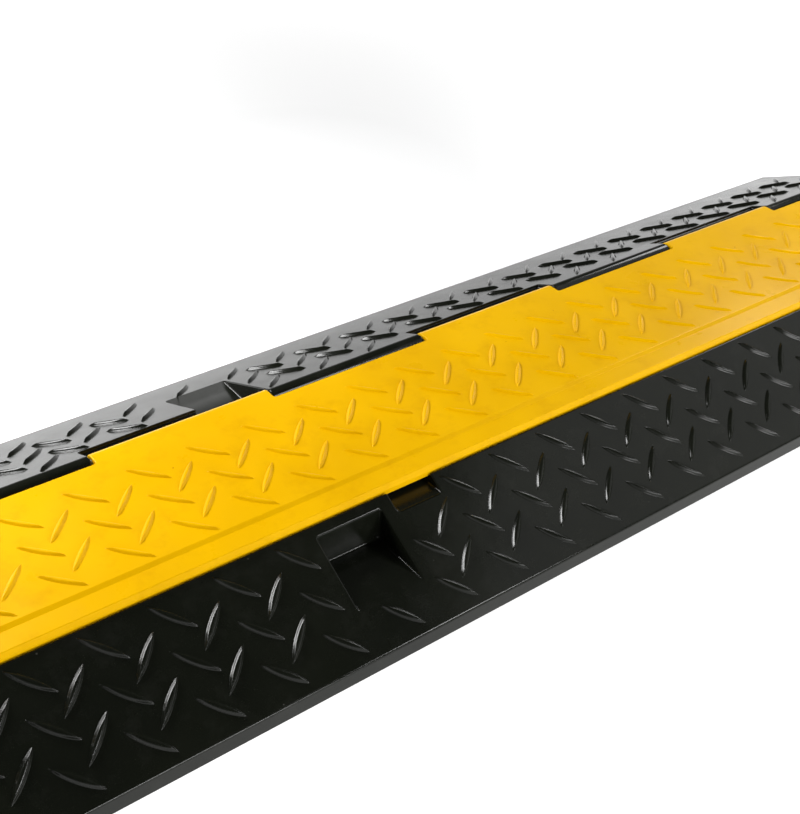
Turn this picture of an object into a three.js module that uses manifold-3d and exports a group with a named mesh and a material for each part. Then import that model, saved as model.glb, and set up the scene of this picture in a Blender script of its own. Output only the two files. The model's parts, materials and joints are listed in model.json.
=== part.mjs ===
// Two-channel cable protector ramp: a black rubber base with two tread-plate ramps and a yellow hinged lid.
// Millimetres. X runs along the ramp, Y across it with the hinge on the +Y side, Z up from the floor.
import * as THREE from "three";
import { mergeVertices } from "three/addons/utils/BufferGeometryUtils.js";
import Module from "manifold-3d";

const wasm = await Module();
wasm.setup();

// Overall size
const MODULE_LENGTH = 1000;
const LUG_LENGTH = 20;
const MIDDLE_X = -LUG_LENGTH / 2;
const HALF_WIDTH = 115;
const TOE_HEIGHT = 9;
const TOE_ROUND = 1.5;

// Lid
const LID_TOP = 45;
const LID_THICKNESS = 7.5;
const LID_FRONT_Y = -54.3;
const LIP_HEIGHT = 3.2;
const LIP_SLOPE = 0.8;
const BAND_DROP = 1.2;
const STEP_TOP_Y = -41;
const STEP_FOOT_Y = -43.2;
const LID_BACK_Y = 31.9;
const LID_END_GAP = 0.5;

// Cable channels
const CHANNEL_FLOOR = 5;
const LEDGE_GAP = 0.3;
const CHANNELS_Y = [
  [-46, -12.5],
  [-4.5, 29],
];

// Near ramp, from the toe to the seat under the lid's lip
const SEAT_GAP = 0.6;
const NEAR_RAMP_TOP = 40.5;

// Hinge
const AXIS_Y = 37.8;
const AXIS_Z = 40.2;
const BARREL_RADIUS = LID_TOP - AXIS_Z;
const BORE_RADIUS = 2.8;
const ROD_RADIUS = 2.5;
const ROD_LENGTH = 980;
const PLUG_LENGTH = 8.5;
const KNUCKLES = 10;
const KNUCKLE_LENGTH = 99.5;
const KNUCKLE_GAP = 0.6;
const SLOT_BACK_Y = 44.1;
const SLOT_FLOOR = 34.9;
const RELIEF_BACK_Y = 50;
const RELIEF_FLOOR = 38;

// Hand pockets and finger notch, from the module's middle
const POCKET_X = [-37.5, -1];
const NEAR_POCKET_BACK_Y = -60.5;
const NEAR_POCKET_FRONT_Y = -95.5;
const FAR_POCKET_X = [-35.5, 0.5];
const FAR_POCKET_BACK_Y = 46;
const FAR_POCKET_FRONT_Y = 84;
const NOTCH_X = [6, 32];
const NOTCH_Y = [-66, -51];
const NOTCH_FLOOR = 35;

// Interlock: dovetail lugs on the right end, matching sockets in the left end
const LUG_Y = 84;
const LUG_HEIGHT = 10;
const LUG_NECK = 20;
const LUG_HEAD = 30;
const SOCKET_GAP = 0.6;

// Tread bars: rows that lean left and right in turn
const BAR_PITCH = 31.5;
const BAR_LENGTH = 22.8;
const BAR_WIDTH = 4;
const BAR_HEIGHT = 1.2;
const BAR_SINK = 0.3;
const BAR_ANGLE = THREE.MathUtils.degToRad(46.4);
const BAR_END_MARGIN = 11;
const TREAD_ROWS = 5;
const LID_TREAD = { firstRow: 0, rowPitch: 10.7, leftPhase: 0.37, rightPhase: -0.2 };
const NEAR_TREAD = { firstRow: 12, rowPitch: 10.7, leftPhase: 0.38, rightPhase: -0.19 };
const FAR_TREAD = { firstRow: 5.8, rowPitch: 11.7, leftPhase: -0.2, rightPhase: 0.35 };
const LID_FIRST_ROW_Y = 11.7;

const LEFT_END = MIDDLE_X - MODULE_LENGTH / 2;
const RIGHT_END = MIDDLE_X + MODULE_LENGTH / 2;
const LID_UNDERSIDE = LID_TOP - LID_THICKNESS;
const LEDGE = LID_UNDERSIDE - LEDGE_GAP;
const SEAT_Y = LID_FRONT_Y - SEAT_GAP;
const CLEAR_TOP = LID_TOP + 15;

// The near ramp's slope, and the far ramp as the line from the toe that just touches the hinge barrels.
const nearSlope = Math.atan2(NEAR_RAMP_TOP - TOE_HEIGHT, SEAT_Y + HALF_WIDTH);
const toeToAxis = Math.hypot(HALF_WIDTH - AXIS_Y, AXIS_Z - TOE_HEIGHT);
const farSlope =
  Math.atan2(AXIS_Z - TOE_HEIGHT, HALF_WIDTH - AXIS_Y) + Math.asin(BARREL_RADIUS / toeToAxis);
const nearRampZ = (y) => TOE_HEIGHT + (y + HALF_WIDTH) * Math.tan(nearSlope);
const farRampZ = (y) => TOE_HEIGHT + (HALF_WIDTH - y) * Math.tan(farSlope);

// A closed three.js geometry as a solid.
function solid(geometry) {
  const plain = geometry.clone();
  plain.deleteAttribute("normal");
  plain.deleteAttribute("uv");
  const merged = mergeVertices(plain, 1e-4);
  return new wasm.Manifold(
    new wasm.Mesh({
      numProp: 3,
      vertProperties: new Float32Array(merged.getAttribute("position").array),
      triVerts: new Uint32Array(merged.index.array),
    })
  );
}

// A solid as a three.js geometry.
function geometryOf(shape) {
  const mesh = shape.getMesh();
  const geometry = new THREE.BufferGeometry();
  geometry.setAttribute("position", new THREE.BufferAttribute(mesh.vertProperties, 3));
  geometry.setIndex(new THREE.BufferAttribute(mesh.triVerts, 1));
  geometry.computeVertexNormals();
  return geometry;
}

function box(x0, x1, y0, y1, z0, z1) {
  const geometry = new THREE.BoxGeometry(x1 - x0, y1 - y0, z1 - z0);
  geometry.translate((x0 + x1) / 2, (y0 + y1) / 2, (z0 + z1) / 2);
  return solid(geometry);
}

// A cross-section in Y and Z, drawn as a shape, run along X.
function alongX(shape, x0, x1) {
  const geometry = new THREE.ExtrudeGeometry(shape, {
    depth: x1 - x0,
    bevelEnabled: false,
    curveSegments: 10,
  });
  const turn = new THREE.Matrix4().makeBasis(
    new THREE.Vector3(0, 1, 0),
    new THREE.Vector3(0, 0, 1),
    new THREE.Vector3(1, 0, 0)
  );
  geometry.applyMatrix4(turn);
  geometry.translate(x0, 0, 0);
  return solid(geometry);
}

// A round bar on the hinge axis.
function onAxis(radius, x0, x1, segments) {
  const geometry = new THREE.CylinderGeometry(radius, radius, x1 - x0, segments);
  geometry.rotateZ(Math.PI / 2);
  geometry.translate((x0 + x1) / 2, AXIS_Y, AXIS_Z);
  return solid(geometry);
}

// The knuckles from the left: even ones belong to the lid, odd ones to the base.
function knuckleRange(i) {
  const start = MIDDLE_X + (i - KNUCKLES / 2) * KNUCKLE_LENGTH;
  return [start, start + KNUCKLE_LENGTH];
}

// One tread bar lying along X on Z = 0: a long low ridge with pointed ends.
function treadBar() {
  const half = BAR_LENGTH / 2;
  const shoulder = half * 0.6;
  const points = [];
  for (const [x, y] of [
    [half, 0],
    [shoulder, BAR_WIDTH / 2],
    [-shoulder, BAR_WIDTH / 2],
    [-half, 0],
    [-shoulder, -BAR_WIDTH / 2],
    [shoulder, -BAR_WIDTH / 2],
  ]) {
    points.push([x, y, -BAR_SINK]);
  }
  for (const x of [-0.72 * half, 0.72 * half]) {
    for (const y of [-BAR_WIDTH / 8, BAR_WIDTH / 8]) {
      points.push([x, y, BAR_HEIGHT]);
    }
  }
  return wasm.Manifold.hull(points);
}

// Rows of tread bars on a surface. place(distance) gives a row's matrix, lean(row) is true where its bars
// lean left, and blocked(x, row) leaves out the bars that would stand over an opening.
function treadRows(tread, place, lean, blocked) {
  const bars = [];
  const bar = treadBar();
  for (let row = 0; row < TREAD_ROWS; row += 1) {
    const left = lean(row);
    const phase = left ? tread.leftPhase : tread.rightPhase;
    const turn = new THREE.Matrix4().makeRotationZ(left ? -BAR_ANGLE : BAR_ANGLE);
    const onSurface = place(tread.firstRow + row * tread.rowPitch);
    const count = Math.ceil(MODULE_LENGTH / BAR_PITCH / 2);
    for (let i = -count; i <= count; i += 1) {
      const x = MIDDLE_X + (i + phase) * BAR_PITCH;
      const inside = x > LEFT_END + BAR_END_MARGIN && x < RIGHT_END - BAR_END_MARGIN;
      if (inside && !blocked(x - MIDDLE_X, row)) {
        const matrix = new THREE.Matrix4().makeTranslation(x, 0, 0).multiply(onSurface).multiply(turn);
        bars.push(bar.transform(matrix.elements));
      }
    }
  }
  return bars;
}

function placeOnSlope(y, z, slope) {
  return new THREE.Matrix4().makeTranslation(0, y, z).multiply(new THREE.Matrix4().makeRotationX(slope));
}

const reach = (BAR_LENGTH / 2) * Math.cos(BAR_ANGLE) + BAR_WIDTH / 2;
const over = (x, range) => x > range[0] - reach && x < range[1] + reach;
const overLidKnuckle = (x) => {
  const knuckle = Math.floor((x + reach) / KNUCKLE_LENGTH + KNUCKLES / 2);
  const previous = Math.floor((x - reach) / KNUCKLE_LENGTH + KNUCKLES / 2);
  return knuckle % 2 === 0 || previous % 2 === 0;
};

// Base: ramps, channels and hinge seat in one cross-section, then the slots, pockets, notch and sockets.
function baseSection() {
  const shape = new THREE.Shape();
  shape.moveTo(-HALF_WIDTH, 0);
  shape.lineTo(HALF_WIDTH, 0);
  shape.lineTo(HALF_WIDTH, TOE_HEIGHT - TOE_ROUND);
  shape.lineTo(HALF_WIDTH - TOE_ROUND, farRampZ(HALF_WIDTH - TOE_ROUND));
  shape.lineTo(AXIS_Y + BARREL_RADIUS * Math.sin(farSlope), AXIS_Z + BARREL_RADIUS * Math.cos(farSlope));
  shape.absarc(AXIS_Y, AXIS_Z, BARREL_RADIUS, Math.PI / 2 - farSlope, Math.PI, false);
  shape.lineTo(AXIS_Y - BARREL_RADIUS, LEDGE);
  for (const [near, far] of [...CHANNELS_Y].reverse()) {
    shape.lineTo(far, LEDGE);
    shape.lineTo(far, CHANNEL_FLOOR);
    shape.lineTo(near, CHANNEL_FLOOR);
    shape.lineTo(near, LEDGE);
  }
  shape.lineTo(SEAT_Y, LEDGE);
  shape.lineTo(SEAT_Y, NEAR_RAMP_TOP);
  shape.lineTo(-HALF_WIDTH + TOE_ROUND, nearRampZ(-HALF_WIDTH + TOE_ROUND));
  shape.lineTo(-HALF_WIDTH, TOE_HEIGHT - TOE_ROUND);
  shape.closePath();
  return shape;
}

// A dovetail in plan, from x0 for a length, on both ramps.
function dovetails(x0, length, height, extra) {
  const pair = [];
  for (const y of [-LUG_Y, LUG_Y]) {
    const shape = new THREE.Shape();
    shape.moveTo(x0, y - LUG_NECK / 2 - extra);
    shape.lineTo(x0 + length, y - LUG_HEAD / 2 - extra);
    shape.lineTo(x0 + length, y + LUG_HEAD / 2 + extra);
    shape.lineTo(x0, y + LUG_NECK / 2 + extra);
    shape.closePath();
    const geometry = new THREE.ExtrudeGeometry(shape, { depth: height, bevelEnabled: false });
    pair.push(solid(geometry));
  }
  return pair;
}

function baseCuts() {
  const cuts = [];
  for (let i = 0; i < KNUCKLES; i += 2) {
    const [x0, x1] = knuckleRange(i);
    const start = i === 0 ? LEFT_END - 1 : x0 - KNUCKLE_GAP;
    const end = x1 + KNUCKLE_GAP;
    cuts.push(box(start, end, LID_BACK_Y, SLOT_BACK_Y, SLOT_FLOOR, CLEAR_TOP));
    cuts.push(box(start, end, SLOT_BACK_Y - 1, RELIEF_BACK_Y, RELIEF_FLOOR, CLEAR_TOP));
  }
  const pocket = POCKET_X.map((x) => MIDDLE_X + x);
  const nearFloor = nearRampZ(NEAR_POCKET_FRONT_Y);
  cuts.push(box(...pocket, NEAR_POCKET_FRONT_Y - 1, NEAR_POCKET_BACK_Y, nearFloor, CLEAR_TOP));
  const farPocket = FAR_POCKET_X.map((x) => MIDDLE_X + x);
  const farFloor = farRampZ(FAR_POCKET_FRONT_Y);
  cuts.push(box(...farPocket, FAR_POCKET_BACK_Y, FAR_POCKET_FRONT_Y + 1, farFloor, CLEAR_TOP));
  cuts.push(box(...farPocket, SLOT_BACK_Y - 1, FAR_POCKET_BACK_Y + 1, SLOT_FLOOR, CLEAR_TOP));
  const notch = NOTCH_X.map((x) => MIDDLE_X + x);
  cuts.push(box(...notch, ...NOTCH_Y, NOTCH_FLOOR, CLEAR_TOP));
  cuts.push(onAxis(BORE_RADIUS, LEFT_END - 1, RIGHT_END + 1, 24));
  const socketHeight = LUG_HEIGHT + SOCKET_GAP;
  for (const socket of dovetails(0, LUG_LENGTH + SOCKET_GAP, socketHeight + 1, SOCKET_GAP)) {
    cuts.push(socket.translate([LEFT_END - 0.01, 0, -1]));
  }
  return cuts;
}

function nearTreads() {
  const place = (distance) => {
    const y = SEAT_Y - distance * Math.cos(nearSlope);
    return placeOnSlope(y, nearRampZ(y), nearSlope);
  };
  const blocked = (x, row) => (over(x, POCKET_X) && row < 4) || (over(x, NOTCH_X) && row === 0);
  return treadRows(NEAR_TREAD, place, (row) => row % 2 === 0, blocked);
}

function farTreads() {
  const place = (distance) => {
    const y = SLOT_BACK_Y + distance * Math.cos(farSlope);
    return placeOnSlope(y, farRampZ(y), -farSlope);
  };
  const blocked = (x, row) => (over(x, FAR_POCKET_X) && row < 4) || (row === 0 && overLidKnuckle(x));
  return treadRows(FAR_TREAD, place, (row) => row % 2 === 1, blocked);
}

function baseMoulding() {
  const body = alongX(baseSection(), LEFT_END, RIGHT_END);
  const lugs = dovetails(RIGHT_END - 0.5, LUG_LENGTH + 0.5, LUG_HEIGHT, 0);
  const withLugs = wasm.Manifold.union([body, ...lugs, ...nearTreads(), ...farTreads()]);
  return withLugs.subtract(wasm.Manifold.union(baseCuts()));
}

// Lid: the stepped plate, with a hinge barrel on each of its tabs.
function lidSection() {
  const shape = new THREE.Shape();
  shape.moveTo(LID_FRONT_Y, LID_UNDERSIDE);
  shape.lineTo(AXIS_Y - BARREL_RADIUS / 2, LID_UNDERSIDE);
  shape.lineTo(AXIS_Y, AXIS_Z);
  shape.lineTo(AXIS_Y, LID_TOP);
  shape.lineTo(STEP_TOP_Y, LID_TOP);
  shape.lineTo(STEP_FOOT_Y, LID_TOP - BAND_DROP);
  shape.lineTo(LID_FRONT_Y + LIP_SLOPE, LID_TOP - BAND_DROP);
  shape.lineTo(LID_FRONT_Y, LID_TOP - BAND_DROP - LIP_HEIGHT);
  shape.closePath();
  return shape;
}

function lidMoulding() {
  const left = LEFT_END + LID_END_GAP;
  const right = RIGHT_END - LID_END_GAP;
  const place = (distance) => placeOnSlope(LID_FIRST_ROW_Y - distance, LID_TOP, 0);
  const treads = treadRows(LID_TREAD, place, (row) => row % 2 === 0, () => false);
  const pieces = [alongX(lidSection(), left, right), ...treads];
  const cuts = [onAxis(BORE_RADIUS, left - 1, right + 1, 24)];
  for (let i = 0; i < KNUCKLES; i += 1) {
    const [x0, x1] = knuckleRange(i);
    if (i % 2 === 0) {
      const start = i === 0 ? left : x0 + KNUCKLE_GAP / 2;
      pieces.push(onAxis(BARREL_RADIUS, start, x1 - KNUCKLE_GAP / 2, 48));
    } else {
      const end = i === KNUCKLES - 1 ? right + 1 : x1 + KNUCKLE_GAP / 2;
      cuts.push(box(x0 - KNUCKLE_GAP / 2, end, LID_BACK_Y, AXIS_Y + BARREL_RADIUS + 1, 0, CLEAR_TOP));
    }
  }
  return wasm.Manifold.union(pieces).subtract(wasm.Manifold.union(cuts));
}

const blackRubber = new THREE.MeshStandardMaterial({ color: 0x17181a, roughness: 0.45, metalness: 0 });
const yellowPlastic = new THREE.MeshStandardMaterial({ color: 0xf0b400, roughness: 0.4, metalness: 0 });
const steel = new THREE.MeshStandardMaterial({ color: 0xb9bcc0, roughness: 0.35, metalness: 1 });

const ramp = new THREE.Group();

function add(name, shape, material) {
  const mesh = new THREE.Mesh(geometryOf(shape), material);
  mesh.name = name;
  ramp.add(mesh);
}

add("base_moulding", baseMoulding(), blackRubber);
add("lid_moulding", lidMoulding(), yellowPlastic);
add("hinge_rod", onAxis(ROD_RADIUS, MIDDLE_X - ROD_LENGTH / 2, MIDDLE_X + ROD_LENGTH / 2, 24), steel);
for (const [name, side] of [
  ["rod_plug_left", -1],
  ["rod_plug_right", 1],
]) {
  const inner = MIDDLE_X + side * (ROD_LENGTH / 2 + 0.5);
  const outer = inner + side * PLUG_LENGTH;
  add(name, onAxis(ROD_RADIUS, Math.min(inner, outer), Math.max(inner, outer), 24), blackRubber);
}

export default ramp;
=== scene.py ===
"""Looks of a two-channel cable protector ramp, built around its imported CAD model.

Metres. X runs along the ramp, Y across it with the hinge on the +Y side, Z up from the floor.
"""

import json
import math

import bmesh
import bpy
import numpy as np
from mathutils import Matrix, Vector


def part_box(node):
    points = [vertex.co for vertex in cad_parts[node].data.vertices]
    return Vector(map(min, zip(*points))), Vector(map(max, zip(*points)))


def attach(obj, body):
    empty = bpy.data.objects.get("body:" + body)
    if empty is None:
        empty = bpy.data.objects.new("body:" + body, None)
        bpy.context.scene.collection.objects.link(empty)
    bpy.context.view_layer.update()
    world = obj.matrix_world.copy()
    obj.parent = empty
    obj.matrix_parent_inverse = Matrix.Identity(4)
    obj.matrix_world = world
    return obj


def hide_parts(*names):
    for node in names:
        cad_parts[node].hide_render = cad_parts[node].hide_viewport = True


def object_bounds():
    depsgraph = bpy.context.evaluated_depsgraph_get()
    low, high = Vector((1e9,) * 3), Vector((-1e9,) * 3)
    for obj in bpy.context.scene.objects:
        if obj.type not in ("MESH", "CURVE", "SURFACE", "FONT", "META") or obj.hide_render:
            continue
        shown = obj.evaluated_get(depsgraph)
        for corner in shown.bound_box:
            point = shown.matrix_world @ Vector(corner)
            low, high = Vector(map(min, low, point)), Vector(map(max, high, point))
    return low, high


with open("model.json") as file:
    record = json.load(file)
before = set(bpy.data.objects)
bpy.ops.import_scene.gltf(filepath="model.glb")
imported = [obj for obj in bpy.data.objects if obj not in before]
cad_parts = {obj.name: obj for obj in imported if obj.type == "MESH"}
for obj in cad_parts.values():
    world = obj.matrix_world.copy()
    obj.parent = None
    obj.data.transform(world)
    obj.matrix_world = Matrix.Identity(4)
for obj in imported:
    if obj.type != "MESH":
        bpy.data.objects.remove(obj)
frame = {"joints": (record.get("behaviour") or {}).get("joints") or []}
cad_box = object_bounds()
MM = 0.001

# ---------------------------------------------------------------------------------------------------------
# Places from the frame
# ---------------------------------------------------------------------------------------------------------
base_low, base_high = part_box("base_moulding")
lid_low, lid_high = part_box("lid_moulding")
rod_low, rod_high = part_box("hinge_rod")
hinge = frame["joints"][0]["pos_m"]

LUG_LENGTH = 20 * MM
LEFT_END = base_low.x
RIGHT_END = base_high.x - LUG_LENGTH
MIDDLE_X = (LEFT_END + RIGHT_END) / 2
HALF_WIDTH = base_high.y
AXIS_Y = hinge[1]
AXIS_Z = hinge[2]

# ---------------------------------------------------------------------------------------------------------
# Sizes
# ---------------------------------------------------------------------------------------------------------
BAR_HEIGHT = 1.2 * MM
LID_TOP = lid_high.z - BAR_HEIGHT
LID_THICKNESS = 7.5 * MM
LID_FRONT_Y = lid_low.y
LIP_HEIGHT = 3.2 * MM
LIP_SLOPE = 0.8 * MM
BAND_DROP = 1.2 * MM
STEP_TOP_Y = -41.0 * MM
STEP_FOOT_Y = -43.2 * MM
LID_BACK_Y = 31.9 * MM

TOE_HEIGHT = 9 * MM
NEAR_RAMP_TOP = 40.5 * MM
SEAT_GAP = 0.6 * MM
SEAT_Y = LID_FRONT_Y - SEAT_GAP
LEDGE = LID_TOP - LID_THICKNESS - 0.3 * MM
CHANNEL_FLOOR = 5 * MM
CHANNELS_Y = [(-46 * MM, -12.5 * MM), (-4.5 * MM, 29 * MM)]

BARREL_RADIUS = LID_TOP - AXIS_Z
BORE_RADIUS = 2.8 * MM
# Radians from +Y, where the lid's barrel meets its flat underside.
LID_BARREL_START = -2.54
KNUCKLES = 10
KNUCKLE_LENGTH = 99.5 * MM
KNUCKLE_GAP = 0.6 * MM
SLOT_BACK_Y = 44.1 * MM
SLOT_FLOOR = 34.9 * MM
RELIEF_BACK_Y = 50 * MM
RELIEF_FLOOR = 38 * MM

POCKET_X = (-37.5 * MM, -1 * MM)
NEAR_POCKET_Y = (-95.5 * MM, -60.5 * MM)
FAR_POCKET_X = (-35.5 * MM, 0.5 * MM)
FAR_POCKET_Y = (46 * MM, 84 * MM)
POCKET_RUNOUT = 3 * MM
POCKET_RADIUS = 1.4 * MM
NOTCH_X = (6 * MM, 32 * MM)
NOTCH_Y = (-66 * MM, -51 * MM)
NOTCH_FLOOR = 35 * MM

LUG_Y = 84 * MM
LUG_HEIGHT = 10 * MM
LUG_NECK = 20 * MM
LUG_HEAD = 30 * MM
SOCKET_GAP = 0.6 * MM

BAR_PITCH = 31.5 * MM
BAR_LENGTH = 22.8 * MM
BAR_WIDTH = 3.2 * MM
BAR_ANGLE = math.radians(46.4)
BAR_END_MARGIN = 11 * MM
RAMP_BAR_WIDTH = 3.8 * MM
RAMP_BAR_HEIGHT = 1.45 * MM
TREAD_ROWS = 5
# Each surface's tread: from its top edge to the first row, from row to row, and how far the bars that lean
# left and right are shifted, in shares of the bar pitch.
LID_TREAD = {"first": 0, "pitch": 10.7 * MM, "left": 0.37, "right": -0.2}
NEAR_TREAD = {"first": 12 * MM, "pitch": 10.7 * MM, "left": 0.38, "right": -0.19}
FAR_TREAD = {"first": 5.8 * MM, "pitch": 11.7 * MM, "left": -0.2, "right": 0.35}
LID_FIRST_ROW_Y = 11.7 * MM
# The hand pockets interrupt this many rows, counted from the top.
POCKET_ROWS = 4

# Cutters reach this high, this far past an end, and this far into the cut beside them.
CLEAR_TOP = LID_TOP + 15 * MM
PAST_END = 5 * MM
OVERLAP = 1 * MM
BORE_SEGMENTS = 32
CORNER_STEPS = 5
EDGE_SEGMENTS = 3
EDGE_LIMIT = math.radians(35)

near_slope = math.atan2(NEAR_RAMP_TOP - TOE_HEIGHT, SEAT_Y + HALF_WIDTH)
toe_to_axis = math.hypot(HALF_WIDTH - AXIS_Y, AXIS_Z - TOE_HEIGHT)
far_slope = math.atan2(AXIS_Z - TOE_HEIGHT, HALF_WIDTH - AXIS_Y) + math.asin(BARREL_RADIUS / toe_to_axis)


def near_ramp_z(y):
    return TOE_HEIGHT + (y + HALF_WIDTH) * math.tan(near_slope)


def far_ramp_z(y):
    return TOE_HEIGHT + (HALF_WIDTH - y) * math.tan(far_slope)


# ---------------------------------------------------------------------------------------------------------
# Mesh helpers
# ---------------------------------------------------------------------------------------------------------
def arc(centre, radius, start, end, steps):
    """Points on a circle in Y and Z, angles in radians from +Y towards +Z."""
    angles = np.linspace(start, end, steps + 1)
    return [(centre[0] + radius * math.cos(a), centre[1] + radius * math.sin(a)) for a in angles]


def rounded(outline):
    """An outline with its corners rounded. Each entry is (y, z) or (y, z, radius)."""
    points = []
    count = len(outline)
    for i, entry in enumerate(outline):
        corner = Vector(entry[:2])
        radius = entry[2] if len(entry) > 2 else 0
        if radius == 0:
            points.append(tuple(corner))
            continue
        before = (Vector(outline[i - 1][:2]) - corner).normalized()
        after = (Vector(outline[(i + 1) % count][:2]) - corner).normalized()
        half = before.angle(after) / 2
        reach = radius / math.tan(half)
        centre = corner + (before + after).normalized() * (radius / math.sin(half))
        first = corner + before * reach - centre
        last = corner + after * reach - centre
        sweep = math.pi - 2 * half
        for step in range(CORNER_STEPS + 1):
            t = step / CORNER_STEPS
            spoke = first * math.sin((1 - t) * sweep) + last * math.sin(t * sweep)
            points.append(tuple(centre + spoke / math.sin(sweep)))
    return points


def new_object(name, bm):
    """Makes an object of a finished bmesh, with its normals outwards."""
    mesh = bpy.data.meshes.new(name)
    bmesh.ops.recalc_face_normals(bm, faces=bm.faces)
    bm.to_mesh(mesh)
    bm.free()
    obj = bpy.data.objects.new(name, mesh)
    bpy.context.scene.collection.objects.link(obj)
    return obj


def prism(name, outline, low, high, along="x"):
    """A closed outline run along X (outline in Y, Z) or along Z (outline in X, Y)."""
    bm = bmesh.new()
    if along == "x":
        ring = [bm.verts.new((low, a, b)) for a, b in outline]
        shift = (high - low, 0, 0)
    else:
        ring = [bm.verts.new((a, b, low)) for a, b in outline]
        shift = (0, 0, high - low)
    face = bm.faces.new(ring)
    extruded = bmesh.ops.extrude_face_region(bm, geom=[face], use_keep_orig=True)
    moved = [g for g in extruded["geom"] if isinstance(g, bmesh.types.BMVert)]
    bmesh.ops.translate(bm, verts=moved, vec=shift)
    return new_object(name, bm)


def cut_box(name, x, y, z, radius, edges="all"):
    """A box cutter whose upright edges, and its floor edges if asked, are rounded."""
    bm = bmesh.new()
    bmesh.ops.create_cube(bm, size=1)
    size = (x[1] - x[0], y[1] - y[0], z[1] - z[0])
    centre = ((x[0] + x[1]) / 2, (y[0] + y[1]) / 2, (z[0] + z[1]) / 2)
    bmesh.ops.scale(bm, vec=size, verts=bm.verts)
    bmesh.ops.translate(bm, vec=centre, verts=bm.verts)
    if radius > 0:
        chosen = []
        for edge in bm.edges:
            a, b = edge.verts
            upright = abs(a.co.z - b.co.z) > 1e-6
            floor = max(a.co.z, b.co.z) < centre[2]
            if upright or (floor and edges == "all"):
                chosen.append(edge)
        bmesh.ops.bevel(bm, geom=chosen, offset=radius, segments=4, profile=0.5, affect="EDGES")
    return new_object(name, bm)


def revolve(name, outline, segments=48):
    """A body of revolution on the hinge axis. The outline is a list of (x, radius) from end to end."""
    bm = bmesh.new()
    rings = []
    for x, radius in outline:
        if radius == 0:
            rings.append([bm.verts.new((x, AXIS_Y, AXIS_Z))])
            continue
        ring = []
        for i in range(segments):
            angle = 2 * math.pi * i / segments
            y = AXIS_Y + radius * math.cos(angle)
            z = AXIS_Z + radius * math.sin(angle)
            ring.append(bm.verts.new((x, y, z)))
        rings.append(ring)
    for one, two in zip(rings, rings[1:]):
        for i in range(segments):
            j = (i + 1) % segments
            corners = [one[i % len(one)], one[j % len(one)], two[j % len(two)], two[i % len(two)]]
            bm.faces.new(list(dict.fromkeys(corners)))
    return new_object(name, bm)


def boolean(target, tools, operation):
    """Joins the tools to the target or cuts it with them, one after another, and removes them."""
    for tool in tools:
        modifier = target.modifiers.new(operation.lower(), "BOOLEAN")
        modifier.operation = operation
        modifier.solver = "EXACT"
        modifier.object = tool
    apply_modifiers(target)
    for tool in tools:
        bpy.data.objects.remove(tool)


def apply_modifiers(obj):
    """Makes the result of an object's modifiers its mesh."""
    graph = bpy.context.evaluated_depsgraph_get()
    mesh = bpy.data.meshes.new_from_object(obj.evaluated_get(graph))
    obj.modifiers.clear()
    obj.data = mesh


def soften(obj, width):
    """Rounds the remaining sharp edges and shades flat faces flat and rounded edges round."""
    modifier = obj.modifiers.new("edges", "BEVEL")
    modifier.width = width
    modifier.segments = EDGE_SEGMENTS
    modifier.limit_method = "ANGLE"
    modifier.angle_limit = EDGE_LIMIT
    modifier.use_clamp_overlap = False
    apply_modifiers(obj)
    smooth(obj, 60)
    obj.modifiers.new("shading", "WEIGHTED_NORMAL").keep_sharp = True
    apply_modifiers(obj)


def smooth(obj, angle):
    """Shades the object smooth, except across edges sharper than the angle in degrees."""
    for polygon in obj.data.polygons:
        polygon.use_smooth = True
    obj.data.set_sharp_from_angle(angle=math.radians(angle))


# ---------------------------------------------------------------------------------------------------------
# Tread bars
# ---------------------------------------------------------------------------------------------------------
BAR_SEGMENTS = 32
# 1 draws each bar as an ellipse and 2 as two arcs that meet in sharp points.
BAR_POINT = 1.45
# How much faster the ends draw in than the sides towards the crown.
BAR_END_DRAW = 2.4
# Rings from the crown to the foot: share of the outline's width, share of the height.
BAR_RINGS = [
    (0.1, 0.99),
    (0.28, 0.94),
    (0.48, 0.8),
    (0.68, 0.55),
    (0.84, 0.27),
    (0.96, 0.08),
    (1.06, 0),
    (1.12, -0.2),
]


def bar_points(width, height):
    """One tread bar along X on Z = 0: a lens with a domed crown and a fillet at its foot."""
    rows = []
    half_length = BAR_LENGTH / 2
    half_width = width / 2
    for width_share, height_share in BAR_RINGS:
        ring = []
        inset = (1 - width_share) * half_width
        for i in range(BAR_SEGMENTS):
            angle = 2 * math.pi * i / BAR_SEGMENTS
            x = (half_length - BAR_END_DRAW * inset) * math.cos(angle)
            lens = abs(math.sin(angle)) ** BAR_POINT
            y = math.copysign(half_width * width_share * lens, math.sin(angle))
            ring.append((x, y, height * height_share))
        rows.append(ring)
    return rows


def tread_bars(name, matrices, width, height):
    """All bars of one surface in one mesh, with their feet just below the surface they stand on."""
    rows = np.array(bar_points(width, height))
    ring_count, segments = rows.shape[:2]
    template = np.concatenate([rows.reshape(-1, 3), [[0, 0, height]]])
    homogeneous = np.concatenate([template, np.ones((len(template), 1))], axis=1)
    faces = []
    for r in range(ring_count - 1):
        upper = r * segments
        lower = (r + 1) * segments
        for i in range(segments):
            j = (i + 1) % segments
            faces.append((upper + i, lower + i, lower + j, upper + j))
    crown = ring_count * segments
    for i in range(segments):
        faces.append((crown, i, (i + 1) % segments))
    vertices = []
    polygons = []
    for matrix in matrices:
        start = len(vertices)
        vertices.extend((homogeneous @ np.array(matrix).T)[:, :3].tolist())
        polygons.extend(tuple(start + k for k in face) for face in faces)
    mesh = bpy.data.meshes.new(name)
    mesh.from_pydata(vertices, [], polygons)
    mesh.validate()
    obj = bpy.data.objects.new(name, mesh)
    bpy.context.scene.collection.objects.link(obj)
    smooth(obj, 60)
    return obj


bar_reach = BAR_LENGTH / 2 * math.cos(BAR_ANGLE) + BAR_WIDTH / 2


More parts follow.
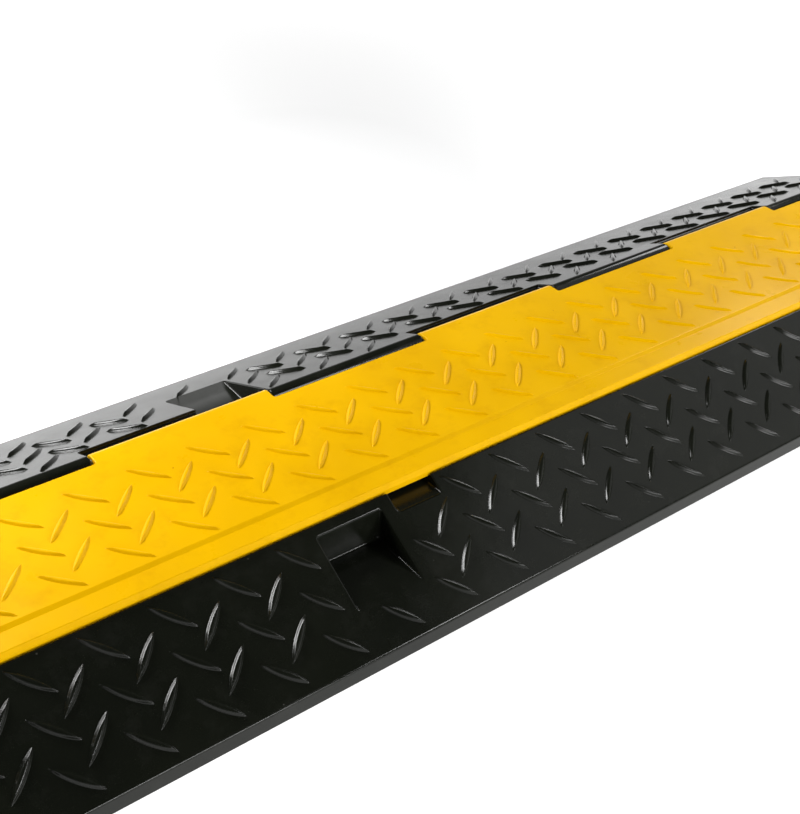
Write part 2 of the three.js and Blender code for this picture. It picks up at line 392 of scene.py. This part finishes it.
def over(x, span):
    """Whether a bar centred on x would reach into the span."""
    return span[0] - bar_reach < x < span[1] + bar_reach


def over_lid_knuckle(x):
    """Whether a bar centred on x would reach in front of a lid knuckle, where the ramp is cut away."""
    for side in (-bar_reach, bar_reach):
        if math.floor((x + side) / KNUCKLE_LENGTH + KNUCKLES / 2) % 2 == 0:
            return True
    return False


def tread_matrices(tread, place, left_first, blocked):
    """Where one surface's bars stand: rows that lean left and right in turn, with gaps where blocked."""
    matrices = []
    for row in range(TREAD_ROWS):
        left = (row % 2 == 0) == left_first
        phase = tread["left"] if left else tread["right"]
        turn = Matrix.Rotation(-BAR_ANGLE if left else BAR_ANGLE, 4, "Z")
        surface = place(tread["first"] + row * tread["pitch"])
        count = math.ceil((RIGHT_END - LEFT_END) / BAR_PITCH / 2)
        for i in range(-count, count + 1):
            offset = (i + phase) * BAR_PITCH
            x = MIDDLE_X + offset
            inside = LEFT_END + BAR_END_MARGIN < x < RIGHT_END - BAR_END_MARGIN
            if inside and not blocked(offset, row):
                matrices.append(Matrix.Translation((x, 0, 0)) @ surface @ turn)
    return matrices


def on_slope(y, z, slope):
    """A frame at Y and Z whose floor is tilted about X."""
    return Matrix.Translation((0, y, z)) @ Matrix.Rotation(slope, 4, "X")


def near_place(distance):
    """The frame of a row of bars, that distance down the near ramp."""
    y = SEAT_Y - distance * math.cos(near_slope)
    return on_slope(y, near_ramp_z(y), near_slope)


def far_place(distance):
    """The frame of a row of bars, that distance down the far ramp."""
    y = SLOT_BACK_Y + distance * math.cos(far_slope)
    return on_slope(y, far_ramp_z(y), -far_slope)


def lid_place(distance):
    """The frame of a row of bars, that distance in front of the lid's first row."""
    return on_slope(LID_FIRST_ROW_Y - distance, LID_TOP, 0)


def near_blocked(x, row):
    """Whether the near ramp's pocket or notch leaves no room for a bar."""
    return (over(x, POCKET_X) and row < POCKET_ROWS) or (over(x, NOTCH_X) and row == 0)


def far_blocked(x, row):
    """Whether the far ramp's pocket or a lid knuckle leaves no room for a bar."""
    return (over(x, FAR_POCKET_X) and row < POCKET_ROWS) or (row == 0 and over_lid_knuckle(x))


# ---------------------------------------------------------------------------------------------------------
# Base
# ---------------------------------------------------------------------------------------------------------
def knuckle_range(i):
    """Where knuckle i starts and ends along the ramp. The even ones are the lid's."""
    start = MIDDLE_X + (i - KNUCKLES / 2) * KNUCKLE_LENGTH
    return start, start + KNUCKLE_LENGTH


def base_outline():
    """The base's section in Y and Z: toes, ramps, hinge barrel, and two channels beside a rib."""
    foot = 0.8 * MM
    toe = 1.8 * MM
    edge = 0.9 * MM
    outline = [(-HALF_WIDTH, 0, foot), (HALF_WIDTH, 0, foot), (HALF_WIDTH, TOE_HEIGHT, toe)]
    barrel = arc((AXIS_Y, AXIS_Z), BARREL_RADIUS, math.pi / 2 - far_slope, math.pi, 14)
    outline += barrel
    outline += [(AXIS_Y - BARREL_RADIUS, LEDGE, 0)]
    for near, far in reversed(CHANNELS_Y):
        outline += [(far, LEDGE, edge), (far, CHANNEL_FLOOR, 2 * edge)]
        outline += [(near, CHANNEL_FLOOR, 2 * edge), (near, LEDGE, edge)]
    outline += [(SEAT_Y, LEDGE, 0), (SEAT_Y, NEAR_RAMP_TOP, edge), (-HALF_WIDTH, TOE_HEIGHT, toe)]
    return rounded(outline)


def dovetails(name, x, z, extra):
    """The two interlock lugs, or their sockets when extra is the gap all round."""
    made = []
    for y in (-LUG_Y, LUG_Y):
        neck = LUG_NECK / 2 + extra
        head = LUG_HEAD / 2 + extra
        outline = [(x[0], y - neck), (x[1], y - head, 2 * MM), (x[1], y + head, 2 * MM), (x[0], y + neck)]
        made.append(prism(name, rounded(outline), z[0], z[1], along="z"))
    return made


def base_moulding():
    """The base: its section with the lugs joined on, then slots, pockets, notch, bore and sockets cut."""
    body = prism("base", base_outline(), LEFT_END, RIGHT_END)
    lug_x = (RIGHT_END - OVERLAP, RIGHT_END + LUG_LENGTH)
    boolean(body, dovetails("lug", lug_x, (0, LUG_HEIGHT), 0), "UNION")
    cuts = []
    for i in range(0, KNUCKLES, 2):
        start, end = knuckle_range(i)
        start = LEFT_END - PAST_END if i == 0 else start - KNUCKLE_GAP
        end += KNUCKLE_GAP
        slot_y = (LID_BACK_Y, SLOT_BACK_Y)
        cuts.append(cut_box("slot", (start, end), slot_y, (SLOT_FLOOR, CLEAR_TOP), 1.2 * MM))
        relief_y = (SLOT_BACK_Y - OVERLAP, RELIEF_BACK_Y)
        cuts.append(cut_box("relief", (start, end), relief_y, (RELIEF_FLOOR, CLEAR_TOP), 0.8 * MM))
    near_x = [MIDDLE_X + x for x in POCKET_X]
    near_y = (NEAR_POCKET_Y[0] - POCKET_RUNOUT, NEAR_POCKET_Y[1])
    near_z = (near_ramp_z(NEAR_POCKET_Y[0]), CLEAR_TOP)
    cuts.append(cut_box("pocket", near_x, near_y, near_z, POCKET_RADIUS))
    far_x = [MIDDLE_X + x for x in FAR_POCKET_X]
    far_y = (FAR_POCKET_Y[0], FAR_POCKET_Y[1] + POCKET_RUNOUT)
    far_z = (far_ramp_z(FAR_POCKET_Y[1]), CLEAR_TOP)
    cuts.append(cut_box("pocket", far_x, far_y, far_z, POCKET_RADIUS))
    strip_y = (SLOT_BACK_Y - OVERLAP, FAR_POCKET_Y[0] + 2 * MM)
    cuts.append(cut_box("strip", far_x, strip_y, (SLOT_FLOOR, CLEAR_TOP), 0))
    notch_x = [MIDDLE_X + x for x in NOTCH_X]
    cuts.append(cut_box("notch", notch_x, NOTCH_Y, (NOTCH_FLOOR, CLEAR_TOP), POCKET_RADIUS))
    cuts.append(revolve("bore", bore_outline(), BORE_SEGMENTS))
    socket_x = (LEFT_END - 0.01 * MM, LEFT_END + LUG_LENGTH + SOCKET_GAP)
    cuts += dovetails("socket", socket_x, (-2 * MM, LUG_HEIGHT + SOCKET_GAP), SOCKET_GAP)
    boolean(body, cuts, "DIFFERENCE")
    soften(body, 0.8 * MM)
    return body


def bore_outline():
    """The hinge rod's bore, from past one end of the ramp to past the other."""
    low = LEFT_END - 2 * MM
    high = RIGHT_END + 2 * MM
    return [(low, 0), (low, BORE_RADIUS), (high, BORE_RADIUS), (high, 0)]


# ---------------------------------------------------------------------------------------------------------
# Lid
# ---------------------------------------------------------------------------------------------------------
def lid_outline():
    """The lid's section in Y and Z: flat top, step down to the front band, lip, and hinge barrel."""
    underside = LID_TOP - LID_THICKNESS
    band = LID_TOP - BAND_DROP
    barrel = arc((AXIS_Y, AXIS_Z), BARREL_RADIUS, LID_BARREL_START, math.pi / 2, 22)
    outline = [(LID_FRONT_Y, underside, 0.8 * MM)]
    outline += barrel
    outline += [(STEP_TOP_Y, LID_TOP, 1.2 * MM), (STEP_FOOT_Y, band, 0.6 * MM)]
    outline += [(LID_FRONT_Y + LIP_SLOPE, band, 0.7 * MM), (LID_FRONT_Y, band - LIP_HEIGHT, 0.5 * MM)]
    return rounded(outline)


def lid_moulding():
    """The lid: its section with the gaps for the base's knuckles and the rod's bore cut."""
    low = lid_low.x
    high = lid_high.x
    body = prism("lid", lid_outline(), low, high)
    cuts = []
    for i in range(1, KNUCKLES, 2):
        start, end = knuckle_range(i)
        start -= KNUCKLE_GAP / 2
        end = high + PAST_END if i == KNUCKLES - 1 else end + KNUCKLE_GAP / 2
        gap_y = (LID_BACK_Y, AXIS_Y + BARREL_RADIUS + PAST_END)
        cuts.append(cut_box("gap", (start, end), gap_y, (20 * MM, CLEAR_TOP), 1.2 * MM, "upright"))
    cuts.append(revolve("bore", bore_outline(), BORE_SEGMENTS))
    boolean(body, cuts, "DIFFERENCE")
    soften(body, 0.5 * MM)
    return body


# ---------------------------------------------------------------------------------------------------------
# Hinge rod and its plugs
# ---------------------------------------------------------------------------------------------------------
def hinge_rod():
    """The rod, with a small chamfer at each end."""
    radius = (rod_high.z - rod_low.z) / 2
    edge = 0.5 * MM
    outline = [(rod_low.x, 0), (rod_low.x, radius - edge), (rod_low.x + edge, radius)]
    outline += [(rod_high.x - edge, radius), (rod_high.x, radius - edge), (rod_high.x, 0)]
    rod = revolve("rod", outline)
    smooth(rod, 30)
    return rod


def rod_plug(node, side):
    """A plug with a rounded rim and a shallow dimple in its outer face."""
    low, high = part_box(node)
    outer = high.x if side > 0 else low.x
    inner = low.x if side > 0 else high.x
    radius = (high.z - low.z) / 2
    rim = 0.6 * MM
    outline = [(outer - side * 0.7 * MM, 0), (outer - side * 0.6 * MM, radius * 0.35)]
    outline += [(outer - side * 0.1 * MM, radius * 0.5), (outer, radius * 0.6)]
    for step in range(5):
        angle = math.pi / 2 * step / 4
        outline.append((outer - side * rim * (1 - math.cos(angle)), radius - rim + rim * math.sin(angle)))
    outline += [(inner + side * 0.4 * MM, radius), (inner, radius - 0.4 * MM), (inner, 0)]
    plug = revolve(node + "_moulded", outline)
    smooth(plug, 40)
    return plug


# ---------------------------------------------------------------------------------------------------------
# Materials
# ---------------------------------------------------------------------------------------------------------
def linear(hex_colour):
    """An sRGB colour written as hex, as linear values."""
    values = []
    for i in (0, 2, 4):
        c = int(hex_colour[i : i + 2], 16) / 255
        values.append(c / 12.92 if c <= 0.04045 else ((c + 0.055) / 1.055) ** 2.4)
    return (*values, 1)


def node(tree, kind, settings=None, inputs=None):
    """Adds a shader node. Settings are its own values; inputs are numbers, colours or sockets to link."""
    made = tree.nodes.new(kind)
    for name, value in (settings or {}).items():
        setattr(made, name, value)
    for name, value in (inputs or {}).items():
        if isinstance(value, bpy.types.NodeSocket):
            tree.links.new(value, made.inputs[name])
        else:
            made.inputs[name].default_value = value
    return made


def colour_ramp(tree, factor, stops):
    """A colour ramp whose stops are (position, colour)."""
    made = node(tree, "ShaderNodeValToRGB", inputs={"Fac": factor})
    elements = made.color_ramp.elements
    while len(elements) < len(stops):
        elements.new(0.5)
    for element, (position, colour) in zip(elements, stops):
        element.position = position
        element.color = colour
    return made


def grey(value):
    return (value, value, value, 1)


def material(name):
    """A material whose node tree is still empty, and that tree."""
    made = bpy.data.materials.new(name)
    made.use_nodes = True
    made.node_tree.nodes.clear()
    return made, made.node_tree


def noise(tree, coordinates, period, detail, roughness=0.5):
    """Noise whose features are about one period, in metres, across."""
    inputs = {"Vector": coordinates, "Scale": 1 / period, "Detail": detail, "Roughness": roughness}
    return node(tree, "ShaderNodeTexNoise", inputs=inputs).outputs["Fac"]


SPECK_CELL = 9 * MM
SPECK_RADIUS = 0.45 * MM


def moulded(name, colour, shade, specular, gloss, ior, rough, grain, dirt, speck_share, smear_share):
    """A moulded surface: cloudy colour, handling marks in the gloss, fine mould grain and a few specks."""
    made, tree = material(name)
    where = node(tree, "ShaderNodeTexCoord").outputs["Object"]
    # Cloudy colour about 60 mm across, from the flow of the melt in the mould.
    cloud = noise(tree, where, 60 * MM, 4)
    tint = colour_ramp(tree, cloud, [(0.35, linear(shade)), (0.65, linear(colour))]).outputs["Color"]
    # Rare specks of grit up to 0.9 mm across, where the point of a 9 mm cell lies close to the surface.
    cells = node(tree, "ShaderNodeTexVoronoi", inputs={"Vector": where, "Scale": 1 / SPECK_CELL})
    chance = node(tree, "ShaderNodeSeparateColor", inputs={"Color": cells.outputs["Color"]}).outputs["Red"]
    reach = node(
        tree,
        "ShaderNodeMapRange",
        inputs={
            "Value": chance,
            "From Min": 1 - speck_share,
            "From Max": 1.0,
            "To Min": 0.0,
            "To Max": SPECK_RADIUS / SPECK_CELL,
        },
    )
    speck_mask = node(
        tree,
        "ShaderNodeMath",
        {"operation": "LESS_THAN"},
        {0: cells.outputs["Distance"], 1: reach.outputs["Result"]},
    )
    # Faint grime in smears about 14 mm long, where the noise is highest.
    smear = noise(tree, where, 14 * MM, 6, 0.65)
    smear_mask = colour_ramp(tree, smear, [(0.52, grey(0)), (0.8, grey(smear_share))]).outputs["Color"]
    smeared = node(
        tree, "ShaderNodeMix", {"data_type": "RGBA"}, {"Factor": smear_mask, "A": tint, "B": linear(dirt)}
    )
    mixed = node(
        tree,
        "ShaderNodeMix",
        {"data_type": "RGBA"},
        {"Factor": speck_mask.outputs["Value"], "A": smeared.outputs["Result"], "B": linear(dirt)},
    )
    # Gloss that varies over about 25 mm where hands and boots have rubbed it.
    rub = noise(tree, where, 25 * MM, 5, 0.6)
    roughness = node(
        tree,
        "ShaderNodeMapRange",
        inputs={"Value": rub, "From Min": 0.3, "From Max": 0.7, "To Min": rough[0], "To Max": rough[1]},
    )
    # Mould grain over slow waves 14 mm across. Real grain is about 0.1 mm. It is drawn 0.5 mm to show.
    fine = noise(tree, where, 0.5 * MM, 2)
    waves = noise(tree, where, 14 * MM, 2)
    fine_bump = node(
        tree, "ShaderNodeBump", inputs={"Strength": grain, "Distance": 0.03 * MM, "Height": fine}
    )
    bump = node(
        tree,
        "ShaderNodeBump",
        inputs={
            "Strength": 0.35,
            "Distance": 0.25 * MM,
            "Height": waves,
            "Normal": fine_bump.outputs["Normal"],
        },
    )
    shader = node(
        tree,
        "ShaderNodeBsdfPrincipled",
        inputs={
            "Base Color": mixed.outputs["Result"],
            "Roughness": roughness.outputs["Result"],
            "IOR": ior,
            "Specular IOR Level": specular,
            "Specular Tint": linear(gloss),
            "Normal": bump.outputs["Normal"],
        },
    )
    node(tree, "ShaderNodeOutputMaterial", inputs={"Surface": shader.outputs["BSDF"]})
    return made


def steel():
    """Drawn steel rod: bright grey, with fine die lines 0.4 mm apart that run along its length."""
    made, tree = material("drawn steel")
    where = node(tree, "ShaderNodeTexCoord").outputs["Object"]
    stretched = node(tree, "ShaderNodeMapping", inputs={"Vector": where, "Scale": (0.02, 1, 1)})
    lines = noise(tree, stretched.outputs["Vector"], 0.4 * MM, 3)
    tint = colour_ramp(tree, lines, [(0.3, linear("8C8F92")), (0.7, linear("B9BCC0"))])
    rough = node(
        tree,
        "ShaderNodeMapRange",
        inputs={"Value": lines, "From Min": 0.3, "From Max": 0.7, "To Min": 0.28, "To Max": 0.42},
    )
    shader = node(
        tree,
        "ShaderNodeBsdfPrincipled",
        inputs={"Base Color": tint.outputs["Color"], "Metallic": 1.0, "Roughness": rough.outputs["Result"]},
    )
    node(tree, "ShaderNodeOutputMaterial", inputs={"Surface": shader.outputs["BSDF"]})
    return made


# Injection-moulded thermoplastic rubber: nearly black with an olive cast, smooth enough for crisp glints.
black_rubber = moulded(
    "moulded black rubber",
    colour="13150F",
    shade="0F110C",
    specular=0.28,
    gloss="FFFFFF",
    ior=1.4,
    rough=(0.11, 0.22),
    grain=0.5,
    dirt="3C3C38",
    speck_share=0.3,
    smear_share=0.12,
)
# Injection-moulded polyethylene in safety yellow: deep colour with a soft satin shine.
yellow_plastic = moulded(
    "moulded safety yellow plastic",
    colour="E0AC01",
    shade="D6A201",
    specular=0.3,
    gloss="FFD060",
    ior=1.36,
    rough=(0.26, 0.36),
    grain=0.35,
    dirt="A86A04",
    speck_share=0.15,
    smear_share=0.25,
)
# Moulded polyamide plugs: plain black, duller than the rubber.
black_plastic = moulded(
    "moulded black plastic",
    colour="151515",
    shade="101010",
    specular=0.5,
    gloss="FFFFFF",
    ior=1.5,
    rough=(0.35, 0.5),
    grain=0.4,
    dirt="404040",
    speck_share=0.2,
    smear_share=0.2,
)
rod_steel = steel()


# ---------------------------------------------------------------------------------------------------------
# Pieces on their bodies
# ---------------------------------------------------------------------------------------------------------
def dress(piece, name, body, surface, slot, *nodes):
    """Names a piece, gives it its finish and its body, and hides the CAD nodes it takes the place of."""
    piece.name = name
    piece.data.materials.clear()
    piece.data.materials.append(surface)
    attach(piece, body)
    if nodes:
        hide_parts(*nodes)


dress(base_moulding(), "base", "base", black_rubber, "black_rubber", "base_moulding")
near_matrices = tread_matrices(NEAR_TREAD, near_place, True, near_blocked)
near_bars = tread_bars("near", near_matrices, RAMP_BAR_WIDTH, RAMP_BAR_HEIGHT)
dress(near_bars, "near_ramp_tread_bars", "base", black_rubber, "black_rubber")
far_matrices = tread_matrices(FAR_TREAD, far_place, False, far_blocked)
far_bars = tread_bars("far", far_matrices, RAMP_BAR_WIDTH, RAMP_BAR_HEIGHT)
dress(far_bars, "far_ramp_tread_bars", "base", black_rubber, "black_rubber")
dress(lid_moulding(), "lid", "lid", yellow_plastic, "yellow_plastic", "lid_moulding")
lid_matrices = tread_matrices(LID_TREAD, lid_place, True, lambda x, row: False)
lid_bars = tread_bars("lid_bars", lid_matrices, BAR_WIDTH, BAR_HEIGHT)
dress(lid_bars, "lid_tread_bars", "lid", yellow_plastic, "yellow_plastic")
dress(hinge_rod(), "hinge_rod_drawn", "base", rod_steel, "rod_steel", "hinge_rod")
dress(rod_plug("rod_plug_left", -1), "left_plug", "base", black_plastic, "black_plastic", "rod_plug_left")
dress(rod_plug("rod_plug_right", 1), "right_plug", "base", black_plastic, "black_plastic", "rod_plug_right")


# ---------------------------------------------------------------------------------------------------------
# Floor, light and camera
# ---------------------------------------------------------------------------------------------------------
# Painted light and shade: the floor glows least within 0.12 m of this place and fully from 0.6 m outwards.
PAINTED_GLOW_DIM_CENTRE = (0.2, 0.3, 0)
# Metres, so that the floor's edge lies at the horizon.
FLOOR_HALF_SIZE = 40


def floor():
    """A pale matt floor with a painted glow, dimmed behind the ramp so the far ramp reflects less."""
    made, tree = material("pale floor")
    where = node(tree, "ShaderNodeTexCoord").outputs["Object"]
    away = node(tree, "ShaderNodeVectorMath", {"operation": "DISTANCE"}, {0: where, 1: PAINTED_GLOW_DIM_CENTRE})
    # Painted light: the glow stands in for lighting the floor, and its dimmer patch behind the ramp is
    # painted shade.
    painted_glow = node(
        tree,
        "ShaderNodeMapRange",
        inputs={
            "Value": away.outputs["Value"],
            "From Min": 0.12,
            "From Max": 0.6,
            "To Min": 0.22,
            "To Max": 1.0,
        },
    )
    shader = node(
        tree,
        "ShaderNodeBsdfPrincipled",
        inputs={
            "Base Color": linear("DEDEDE"),
            "Roughness": 0.7,
            "Emission Color": grey(1),
            "Emission Strength": painted_glow.outputs["Result"],
        },
    )
    node(tree, "ShaderNodeOutputMaterial", inputs={"Surface": shader.outputs["BSDF"]})
    bm = bmesh.new()
    bmesh.ops.create_grid(bm, x_segments=1, y_segments=1, size=FLOOR_HALF_SIZE)
    bmesh.ops.translate(bm, verts=bm.verts, vec=(0, 0, cad_box[0][2] - 0.1 * MM))
    plane = new_object("floor", bm)
    plane.data.materials.append(made)


def area_light(name, place, target, size, power):
    """A rectangular softbox of a size in metres and a power in watts, turned towards its target."""
    light = bpy.data.lights.new(name, "AREA")
    light.shape = "RECTANGLE"
    light.size = size[0]
    light.size_y = size[1]
    light.energy = power
    made = bpy.data.objects.new(name, light)
    made.location = place
    made.rotation_euler = (Vector(target) - Vector(place)).to_track_quat("-Z", "Y").to_euler()
    bpy.context.scene.collection.objects.link(made)


def studio():
    """White surroundings, bright near the horizon and dimmer overhead and in front, and five softboxes."""
    world = bpy.data.worlds.new("studio")
    bpy.context.scene.world = world
    world.use_nodes = True
    tree = world.node_tree
    tree.nodes.clear()
    direction = node(tree, "ShaderNodeTexCoord").outputs["Generated"]
    split = node(tree, "ShaderNodeSeparateXYZ", inputs={"Vector": direction})
    by_height = [(0.12, grey(1.0)), (0.35, grey(0.15)), (0.6, grey(0.06)), (0.9, grey(0.1))]
    shade = colour_ramp(tree, split.outputs["Z"], by_height)
    side = node(
        tree,
        "ShaderNodeMapRange",
        inputs={
            "Value": split.outputs["Y"],
            "From Min": -0.5,
            "From Max": 0.3,
            "To Min": 0.5,
            "To Max": 1.0,
        },
    )
    background = node(
        tree,
        "ShaderNodeBackground",
        inputs={"Color": shade.outputs["Color"], "Strength": side.outputs["Result"]},
    )
    node(tree, "ShaderNodeOutputWorld", inputs={"Surface": background.outputs["Background"]})
    # The main light, over the far ramp's left half.
    area_light("softbox_left", (-0.3, 0.42, 0.42), (-0.15, 0.05, 0), (0.3, 0.2), 6.6)
    # A broad soft sheen on the near ramp's right half.
    area_light("softbox_right", (0.85, -0.3, 0.7), (0.3, -0.08, 0.02), (0.6, 0.6), 1.1)
    # Keeps the right end of the lid from falling dark.
    area_light("softbox_end", (0.62, 0.1, 0.35), (0.5, 0, 0.045), (0.15, 0.15), 1.0)
    # Low from the front, for the lid's lip and the pocket's edges.
    area_light("softbox_front", (0.15, -1.6, 0.3), (0, 0, 0), (0.8, 0.25), 14)
    # Small, for glints on the tread bars.
    area_light("softbox_low_right", (0.78, -1.1, 0.92), (0, 0, 0), (0.22, 0.4), 9)


# The view is from the front left and above, rolled a little.
CAMERA_TARGET = Vector((38.5 * MM, -9.7 * MM, LID_TOP))
CAMERA_DISTANCE = 0.643
CAMERA_AZIMUTH = math.radians(40.13)
CAMERA_ELEVATION = math.radians(36.18)
CAMERA_ROLL = math.radians(4.5)
CAMERA_LENS = 55.9


def camera():
    data = bpy.data.cameras.new("camera")
    data.lens = CAMERA_LENS
    data.clip_start = 10 * MM
    made = bpy.data.objects.new("camera", data)
    tilt = Matrix.Rotation(math.pi / 2 - CAMERA_ELEVATION, 4, "X")
    turn = Matrix.Rotation(-CAMERA_AZIMUTH, 4, "Z") @ tilt
    turn = turn @ Matrix.Rotation(CAMERA_ROLL, 4, "Z")
    backwards = turn @ Vector((0, 0, 1))
    made.matrix_world = Matrix.Translation(CAMERA_TARGET + backwards * CAMERA_DISTANCE) @ turn
    bpy.context.scene.collection.objects.link(made)
    bpy.context.scene.camera = made


floor()
studio()
camera()
bpy.context.scene.view_settings.view_transform = "Standard"
